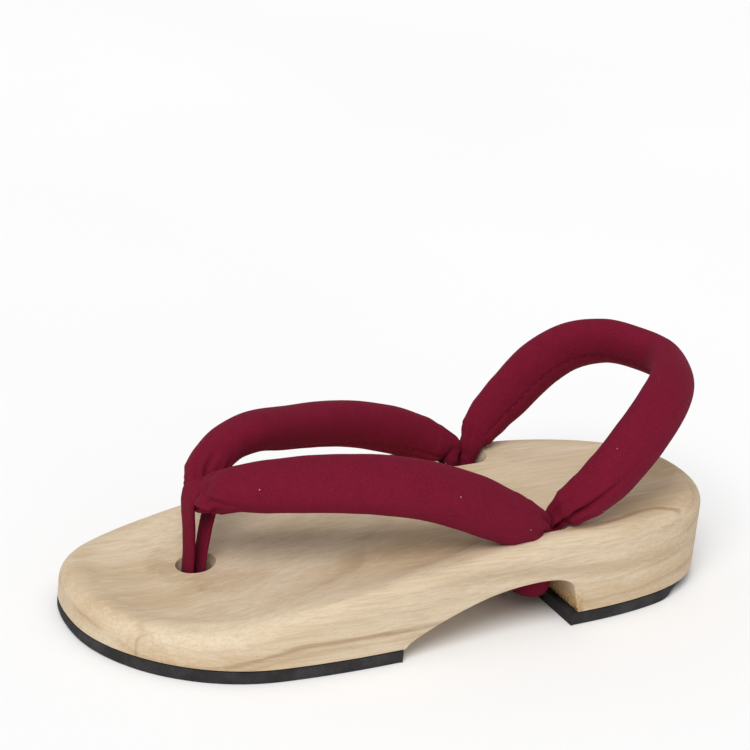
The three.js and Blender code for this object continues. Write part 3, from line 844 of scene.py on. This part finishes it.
def sponge_rubber(settings):
    """Sponge rubber sheet: cut cells darkened with painted shade, a dusty bloom and scuffs on the tread.
    """
    finish = Finish("sponge_rubber")
    position = finish.position()
    axes = finish.axes(position)
    cells = finish.node("ShaderNodeTexVoronoi", {"feature": "F1"},
                        {"Vector": position, "Scale": 1.0 / settings.pit_size})
    pits = 1.0 - finish.ease(cells, 0.10, 0.42)
    grit = finish.noise(position, 2.6, 3.0, 0.65)
    bloom = finish.noise(position, 0.09, 3.0, 0.6)
    scuff = finish.grain(axes, (0.5, 0.08, 1.0), 4.0, 0.7)
    light = tone(settings.colour, 1.75, 0.006)
    base = finish.mix(finish.ease(bloom, 0.35, 0.7), settings.colour, light)
    speckled = finish.mix(finish.ease(grit, 0.5, 0.8) * 0.5, base, light)
    tread = 1.0 - finish.ease(axes[2], 0.15, 0.8)
    dusted = finish.mix(tread * finish.ease(scuff, 0.5, 0.75) * 0.5, speckled, settings.dust)
    # painted shade: the pits of the cut cells are darkened towards near black
    colour_with_painted_pit_shade = finish.mix(pits * 0.6, dusted, tone(settings.colour, 0.45))
    normal = finish.bump(grit * 0.6 - pits * 0.8, 0.00018, 0.6)
    rough = finish.ease(grit, 0.3, 0.7, 0.78, 0.95)
    return finish.output(Base_Color=colour_with_painted_pit_shade, Roughness=rough, Normal=normal,
                         Specular_IOR_Level=0.28)


def pale_floor(settings):
    """Plain matt floor with the faintest mottling."""
    finish = Finish("pale_floor")
    mottle = finish.noise(finish.position(), 0.004, 2.0)
    shade = tone(settings.floor_colour, 0.985)
    colour = finish.mix(finish.ease(mottle, 0.3, 0.7), settings.floor_colour, shade)
    return finish.output(Base_Color=colour, Roughness=0.9, Specular_IOR_Level=0.1)


# ---------------------------------------------------------------------------- wooden body

def arch_profile():
    """The underside between the pads as a list of (y, z), with a rounded inner corner."""
    path = Path([(0.0, y, z) for y, z in ARCH])
    points = [(p.y, p.z) for p in path.points[::3]]
    start = Vector(points[-1])
    pull, end = (Vector(p) for p in ARCH_CORNER)
    steps = 16
    for k in range(1, steps + 1):
        t = k / steps
        points.append(tuple(start * (1 - t) ** 2 + pull * 2 * t * (1 - t) + end * t * t))
    points.append(HEEL_BLOCK_FOOT)
    return points


ARCH_POINTS = arch_profile()


def underside(y):
    """Height of the wood's underside at y."""
    if not ARCH_POINTS[0][0] < y < ARCH_POINTS[-1][0]:
        return WOOD_BOTTOM
    i = min(bisect.bisect_right([p[0] for p in ARCH_POINTS], y) - 1, len(ARCH_POINTS) - 2)
    (y0, z0), (y1, z1) = ARCH_POINTS[i], ARCH_POINTS[i + 1]
    return max(WOOD_BOTTOM, z0 + (z1 - z0) * (y - y0) / (y1 - y0))


def upper_height(y, distance):
    """Height of the upper surface at y, where distance is how far in from the outline."""
    y = min(max(y, 0.0), LENGTH)
    radius = read_column(RIM, 2, y)
    drop_in = max(0.0, radius - distance)
    edge = radius - math.sqrt(radius * radius - drop_in * drop_in)
    into = smoothstep(distance, radius, radius + DISH_RUN)
    return read_column(RIM, 1, y) - edge - into * read_column(RIM, 3, y)


def body_rings(ease):
    """Rings of the wooden body, from the underside's eased edge up to the middle of the footbed."""
    stations = outline_stations(ARCH_ENDS)
    edge = outline(stations)
    rings = []
    for share in (0.0, 0.5, 0.85, 1.0):
        turn = share * math.pi / 2
        lift = ease * (1 - math.cos(turn))
        rings.append([(x, y, underside(y) + lift) for x, y in inset(edge, ease * (1 - math.sin(turn)))])
    bottom = rings[-1]
    wall_steps = 5
    for k in range(1, wall_steps):
        share = k / wall_steps
        rings.append([(x, y, low + share * (upper_height(y, 0.0) - low)) for x, y, low in bottom])
    round_steps = 10
    for k in range(round_steps + 1):
        share = 1 - math.cos(math.pi * k / (2 * round_steps))
        moved = inset(edge, lambda y: share * read_column(RIM, 2, y))
        rings.append([
            (*p, upper_height(e[1], share * read_column(RIM, 2, e[1]))) for p, e in zip(moved, edge)])
    for distance in SLOPE_INSETS:
        rings.append([(x, y, upper_height(y, distance)) for x, y in inset(edge, distance)])
    level = inset(edge, SLOPE_INSETS[-1])
    bed_steps = 15
    for k in range(1, bed_steps):
        share = k / bed_steps
        ring = []
        for x, y in level:
            middle = SPINE_INSET + (LENGTH - 2 * SPINE_INSET) * y / LENGTH
            inner_y = y + (middle - y) * share
            height = upper_height(inner_y, SLOPE_INSETS[-1] + share * DISH_RUN)
            ring.append((x * (1 - share), inner_y, height))
        rings.append(ring)
    return rings


def hole_cutter(hole, side=1):
    """The space of a hole, round or a slot, with a small flare where it meets the footbed."""
    surface = upper_height((hole["front"] + hole["rear"]) / 2, hole["inset"])
    levels = [(hole["floor"], 0.0)] + [(surface + rise, widening) for rise, widening in hole["flare"]]
    rings = []
    for height, widening in levels:
        radius = hole["radius"] + widening
        ring = []
        for k in range(hole["sides"]):
            angle = 2 * math.pi * k / hole["sides"] - math.pi / 2
            end = hole["rear"] if math.sin(angle) > 0 else hole["front"]
            x = side * hole["x"] + radius * math.cos(angle)
            ring.append(place(x, end + radius * math.sin(angle), height))
        rings.append(ring)
    return loft("hole_cutter", rings)


def finish_once(make, settings):
    """The material a maker builds, built the first time it is asked for."""
    return bpy.data.materials.get(make.__name__) or make(settings)


class SANDAL_OT_body(bpy.types.Operator):
    """Build the one-piece wooden body with its dished footbed, arch and holes"""
    bl_idname = "sandal.body"
    bl_label = "Wooden body"

    def execute(self, context):
        settings = context.scene.sandal_wood
        rings = [[place(*point) for point in ring] for ring in body_rings(settings.edge_ease)]
        piece = loft("footbed_and_body", rings)
        tidy_mesh(piece)
        cut(piece, [hole_cutter(SIDE_HOLE, 1), hole_cutter(SIDE_HOLE, -1), hole_cutter(FRONT_HOLE)])
        tidy_mesh(piece)
        finish_piece(piece, finish_once(sanded_wood, settings), ["wooden_body"])
        return {"FINISHED"}


# ------------------------------------------------------------------------------- treads

def tread_rings(tip, sawn_end, wear):
    """Rings of a tread pad between one of the sole's tips and a straight end, both as distances
    from the toe tip; its lower edge is bevelled by wear."""
    steps = 90
    inwards = 1 if tip < sawn_end else -1
    at_tip, at_side, tip_run, side_run = wear
    stations = []
    for k in range(steps + 1):
        share = 1 - math.cos(math.pi / 2 * k / steps)
        stations.append(tip + (sawn_end - tip) * share)
    edge = outline(stations, sawn_off=True)

    def bevel(y):
        from_tip = min(y, LENGTH - y)
        return at_side + (1 - smoothstep(from_tip, tip_run, side_run)) * (at_tip - at_side)

    def bevel_height(y):
        return min(bevel(y), BEVEL_TOP * PAD_TOP)

    def fraying(y):
        return inwards * (0.2 + 0.3 * noise.noise(Vector((0.9 * y, 4.0, 0.0))))

    def squared(ring):
        """The ring with the points of the sawn end back on its line."""
        return [(x, stations[-1] if e[1] == stations[-1] else y) for (x, y), e in zip(ring, edge)]

    sole = squared(inset(edge, lambda y: inwards * bevel(y)))
    shoulder = inset(edge, lambda y: inwards * max(0.0, SHOULDER_SHARE * (bevel(y) - SHOULDER_FROM)))
    round_edge = [
        (a[0] * 0.3 + b[0] * 0.7, a[1] * 0.3 + b[1] * 0.7) for a, b in zip(sole, shoulder)]
    levels = [
        [(x, y, 0.0) for x, y in sole],
        [(x, y, 0.3 * bevel_height(e[1])) for (x, y), e in zip(round_edge, edge)],
        [(x, y, bevel_height(y)) for x, y in shoulder],
        [(x, y, (bevel_height(e[1]) + PAD_TOP) / 2) for (x, y), e in zip(shoulder, edge)],
        [(x, y, PAD_TOP) for x, y in squared(inset(shoulder, fraying))],
    ]
    return [[place(*point) for point in level] for level in levels]


class SANDAL_OT_treads(bpy.types.Operator):
    """Build the two rubber tread pads"""
    bl_idname = "sandal.treads"
    bl_label = "Rubber treads"

    def execute(self, context):
        material = finish_once(sponge_rubber, context.scene.sandal_rubber)
        pads = [("forefoot_tread", "forefoot_pad", 0.0, FOREFOOT_PAD_END, FOREFOOT_WEAR),
                ("heel_tread", "heel_pad", LENGTH, HEEL_PAD_START, HEEL_WEAR)]
        for name, node, tip, sawn_end, wear in pads:
            piece = loft(name, tread_rings(tip, sawn_end, wear))
            tidy_mesh(piece, RUBBER_CREASE)
            finish_piece(piece, material, [node])
        return {"FINISHED"}


# ------------------------------------------------------------------------------- straps

def cloth_ripple(along, angle, amount, seed):
    """Small soft unevenness of stuffed cloth, in millimetres."""
    spot = Vector((along * 0.06, math.cos(angle) * 1.2 + seed, math.sin(angle) * 1.2))
    fine = Vector((along * 0.16, math.cos(angle) * 2.4 - seed, math.sin(angle) * 2.4))
    return amount * (noise.noise(spot) + 0.4 * noise.noise(fine))


def seam_groove(angle, size):
    """The groove along the seam on the side that faces the foot, on the wide part of a strap."""
    half = size[0]
    away = (angle - SEAM_ANGLE) * half
    return -SEAM_DEPTH * smoothstep(half, *SEAM_OPENS) * math.exp(-(away / SEAM_WIDTH) ** 2)


def ring_step(pinches, settings):
    """Close rings near the pinched places, wider apart between them."""
    def step_at(along):
        near = min(abs(along - pinch) for pinch in pinches)
        share = smoothstep(near, 18.0, 40.0)
        return settings.fine_step + (settings.step - settings.fine_step) * share
    return step_at


def stitch_tree(material):
    """A node tree that lays short stitches along a path of edges."""
    tree = bpy.data.node_groups.new("seam_stitches", "GeometryNodeTree")
    tree.is_modifier = True
    tree.interface.new_socket("Geometry", in_out="INPUT", socket_type="NodeSocketGeometry")
    for name, size in (("Pitch", 0.0034), ("Length", 0.0021), ("Thickness", 0.0006)):
        socket = tree.interface.new_socket(name, in_out="INPUT", socket_type="NodeSocketFloat")
        socket.subtype = "DISTANCE"
        socket.default_value = size
    seed = tree.interface.new_socket("Seed", in_out="INPUT", socket_type="NodeSocketInt")
    seed.default_value = 7
    tree.interface.new_socket("Geometry", in_out="OUTPUT", socket_type="NodeSocketGeometry")

    def add(kind, settings=None, links=None):
        node = tree.nodes.new(kind)
        for name, value in (settings or {}).items():
            setattr(node, name, value)
        for key, value in (links or {}).items():
            if isinstance(value, bpy.types.NodeSocket):
                tree.links.new(value, node.inputs[key])
            else:
                node.inputs[key].default_value = value
        return node.outputs

    sizes = add("NodeGroupInput")
    curve = add("GeometryNodeMeshToCurve", links={"Mesh": sizes["Geometry"]})
    points = add("GeometryNodeCurveToPoints", {"mode": "LENGTH"},
                 {"Curve": curve["Curve"], "Length": sizes["Pitch"]})
    ball = add("GeometryNodeMeshUVSphere", links={"Segments": 8, "Rings": 6, "Radius": 0.5})
    shape = add("ShaderNodeCombineXYZ", links={"X": sizes["Thickness"], "Y": sizes["Thickness"],
                                               "Z": sizes["Length"]})
    uneven = add("FunctionNodeRandomValue", {"data_type": "FLOAT"},
                 {"Min": 0.85, "Max": 1.1, "Seed": sizes["Seed"]})
    scale = add("ShaderNodeVectorMath", {"operation": "SCALE"},
                {"Vector": shape["Vector"], "Scale": [o for o in uneven if o.enabled][0]})
    stitches = add("GeometryNodeInstanceOnPoints", links={
        "Points": points["Points"], "Instance": ball["Mesh"],
        "Rotation": points["Rotation"], "Scale": scale["Vector"]})
    real = add("GeometryNodeRealizeInstances", links={"Geometry": stitches["Instances"]})
    covered = add("GeometryNodeSetMaterial", links={"Geometry": real["Geometry"], "Material": material})
    add("NodeGroupOutput", links={"Geometry": covered["Geometry"]})
    return tree


def add_seam(name, path, marks, core_of, settings):
    """Sews a row of stitches along the seam of a strap."""
    points = []
    for along in marks:
        centre, _, out, size = band_frame(path, along, core_of)
        points.append(place(*(centre - out * (size[1] - STITCH_SINK))))
    mesh = bpy.data.meshes.new(name)
    mesh.from_pydata(points, [(i, i + 1) for i in range(len(points) - 1)], [])
    piece = add_object(name, mesh)
    material = finish_once(seam_thread, settings)
    modifier = piece.modifiers.new("stitches", "NODES")
    modifier.node_group = bpy.data.node_groups.get("seam_stitches") or stitch_tree(material)
    sockets = {item.name: item.identifier for item in modifier.node_group.interface.items_tree
               if item.in_out == "INPUT"}
    modifier[sockets["Pitch"]] = settings.stitch_pitch
    apply_modifiers(piece)
    tidy_mesh(piece, CLOTH_CREASE)
    return finish_piece(piece, material, [])


def steps_between(low, high, step=1.0):
    """Even distances from low to high."""
    count = round((high - low) / step)
    return [low + (high - low) * k / count for k in range(count + 1)]


class SANDAL_OT_thong(bpy.types.Operator):
    """Build the padded thong strap, both arms joined at the front"""
    bl_idname = "sandal.thong"
    bl_label = "Thong strap"

    def execute(self, context):
        settings = context.scene.sandal_cloth
        path = Path(THONG)
        front = min(path.marks, key=lambda along: (path.at(along)[0] - THONG_MIDDLE).length)

        def relief(along, angle, size):
            move = cloth_ripple(along, angle, 0.16 * min(1.0, size[0] / 8), 4.0)
            return move + fold_depth(THONG_FOLDS, along, angle, size) + seam_groove(angle, size)

        def core_of(centre):
            return Vector((0.0, centre.y, THONG_CORE_HEIGHT))

        marks = path.spaced(ring_step((0.0, front, path.total), settings))
        piece = padded_band("thong", path, marks, settings.sides, core_of, relief)
        tidy_mesh(piece, CLOTH_CREASE)
        finish_piece(piece, finish_once(wine_cotton, settings), ["thong_strap"])
        seams = [("lateral_seam", UNSEWN_HOLE, front - UNSEWN_TOE[0]),
                 ("medial_seam", front + UNSEWN_TOE[1], path.total - UNSEWN_HOLE)]
        for name, low, high in seams:
            add_seam(name, path, steps_between(low, high), core_of, settings)
        return {"FINISHED"}


class SANDAL_OT_toe_loop(bpy.types.Operator):
    """Build the folded band that stands in the front hole and closes over the thong"""
    bl_idname = "sandal.toe_loop"
    bl_label = "Toe loop"

    def execute(self, context):
        settings = context.scene.sandal_cloth
        path = Path([(FRONT_HOLE["x"], y, z, half, thick) for y, z, half, thick in TOE_LOOP])

        def core_of(centre):
            return Vector((centre.x, TOE_LOOP_CORE.y, min(centre.z, TOE_LOOP_CORE.z)))

        def relief(along, angle, size):
            return cloth_ripple(along, angle, 0.22, 9.0) + 0.12 * math.cos(4 * angle + along * 0.08)

        marks = path.spaced(lambda along: settings.fine_step)
        piece = padded_band("toe_band", path, marks, settings.sides // 2, core_of, relief)
        tidy_mesh(piece, CLOTH_CREASE)
        finish_piece(piece, finish_once(wine_cotton, settings), ["toe_loop"])
        return {"FINISHED"}


class SANDAL_OT_heel_strap(bpy.types.Operator):
    """Build the padded heel strap, through the side holes and across under the wood"""
    bl_idname = "sandal.heel_strap"
    bl_label = "Heel strap"

    def execute(self, context):
        settings = context.scene.sandal_cloth
        mirrored = [(-x, *rest) for x, *rest in HEEL_STRAP_SIDE[1:-1]]
        path = Path(HEEL_STRAP_SIDE + mirrored[::-1], closed=True)
        pinch = min(path.marks, key=lambda along: (path.at(along)[0] - HEEL_STRAP_PINCH).length)
        folds = LATERAL_HEEL_FOLDS + [
            (height, wide, [(path.total - along, angle) for along, angle in course])
            for height, wide, course in MEDIAL_HEEL_FOLDS]

        def relief(along, angle, size):
            move = cloth_ripple(along, angle, 0.18 * min(1.0, size[0] / 8), 1.0)
            return move + fold_depth(folds, along, angle, size) + seam_groove(angle, size)

        def core_of(centre):
            return HEEL_STRAP_CORE

        marks = path.spaced(ring_step((pinch, path.total - pinch), settings))
        piece = padded_band("heel_band", path, marks, settings.sides, core_of, relief)
        tidy_mesh(piece, CLOTH_CREASE)
        finish_piece(piece, finish_once(wine_cotton, settings), ["heel_strap"])
        sewn = pinch - UNSEWN_HEEL
        add_seam("heel_seam", path, steps_between(-sewn, sewn), core_of, settings)
        return {"FINISHED"}


# -------------------------------------------------------------------------------- stage

def direction(azimuth, elevation):
    """The unit vector from the sandal towards a place round it."""
    return Vector((math.sin(azimuth) * math.cos(elevation),
                   -math.cos(azimuth) * math.cos(elevation), math.sin(elevation)))


class SANDAL_OT_stage(bpy.types.Operator):
    """Set up the pale floor, the soft lights and the camera"""
    bl_idname = "sandal.stage"
    bl_label = "Stage"

    def execute(self, context):
        settings = context.scene.sandal_stage
        mesh = bpy.data.meshes.new("floor")
        reach = settings.floor_reach
        corners = [(-reach, -reach, 0), (reach, -reach, 0), (reach, reach, 0), (-reach, reach, 0)]
        mesh.from_pydata(corners, [], [(0, 1, 2, 3)])
        floor = add_object("floor", mesh)
        mesh.materials.append(pale_floor(settings))
        self.add_lights(context, settings)
        self.add_camera(context, settings)
        return {"FINISHED"}

    def add_lights(self, context, settings):
        world = bpy.data.worlds.new("studio")
        world.use_nodes = True
        background = world.node_tree.nodes["Background"]
        background.inputs["Color"].default_value = (1.0, 1.0, 1.0, 1.0)
        background.inputs["Strength"].default_value = settings.dome
        context.scene.world = world
        sun = bpy.data.lights.new("key", "SUN")
        sun.energy = settings.sun
        sun.angle = settings.softness
        holder = bpy.data.objects.new("key", sun)
        towards = direction(settings.sun_azimuth, settings.sun_elevation)
        holder.rotation_euler = towards.to_track_quat("Z", "Y").to_euler()
        context.scene.collection.objects.link(holder)
        context.scene.view_settings.view_transform = "Standard"

    def add_camera(self, context, settings):
        back = direction(settings.azimuth, settings.elevation)
        level = Vector((math.cos(settings.azimuth), math.sin(settings.azimuth), 0.0))
        right = Matrix.Rotation(settings.roll, 3, back) @ level
        up = back.cross(right)
        camera = bpy.data.cameras.new("camera")
        camera.lens = settings.lens
        camera.sensor_width = 36.0
        holder = bpy.data.objects.new("camera", camera)
        turn = Matrix((right, up, back)).transposed().to_4x4()
        holder.matrix_world = Matrix.Translation(Vector(settings.aim) + back * settings.distance) @ turn
        context.scene.collection.objects.link(holder)
        context.scene.camera = holder


class SANDAL_PT_panel(bpy.types.Panel):
    """Lists the sandal's steps"""
    bl_label = "Geta Sandal"
    bl_idname = "SANDAL_PT_panel"
    bl_space_type = "VIEW_3D"
    bl_region_type = "UI"
    bl_category = "Sandal"

    def draw(self, context):
        for step in STEPS:
            self.layout.operator(step.bl_idname)
        for name in SETTINGS:
            group = getattr(context.scene, name)
            box = self.layout.box()
            for field in group.__annotations__:
                box.prop(group, field)


STEPS = (SANDAL_OT_stage, SANDAL_OT_body, SANDAL_OT_treads, SANDAL_OT_thong,
         SANDAL_OT_toe_loop, SANDAL_OT_heel_strap)
SETTINGS = {
    "sandal_wood": WoodSettings,
    "sandal_cloth": ClothSettings,
    "sandal_rubber": RubberSettings,
    "sandal_stage": StageSettings,
}


def register():
    for name, group in SETTINGS.items():
        bpy.utils.register_class(group)
        setattr(bpy.types.Scene, name, bpy.props.PointerProperty(type=group))
    for step in STEPS:
        bpy.utils.register_class(step)
    bpy.utils.register_class(SANDAL_PT_panel)


def unregister():
    bpy.utils.unregister_class(SANDAL_PT_panel)
    for step in reversed(STEPS):
        bpy.utils.unregister_class(step)
    for name, group in SETTINGS.items():
        delattr(bpy.types.Scene, name)
        bpy.utils.unregister_class(group)


def main():
    register()
    bpy.ops.sandal.stage()
    bpy.ops.sandal.body()
    bpy.ops.sandal.treads()
    bpy.ops.sandal.thong()
    bpy.ops.sandal.toe_loop()
    bpy.ops.sandal.heel_strap()


if __name__ == "__main__":
    main()
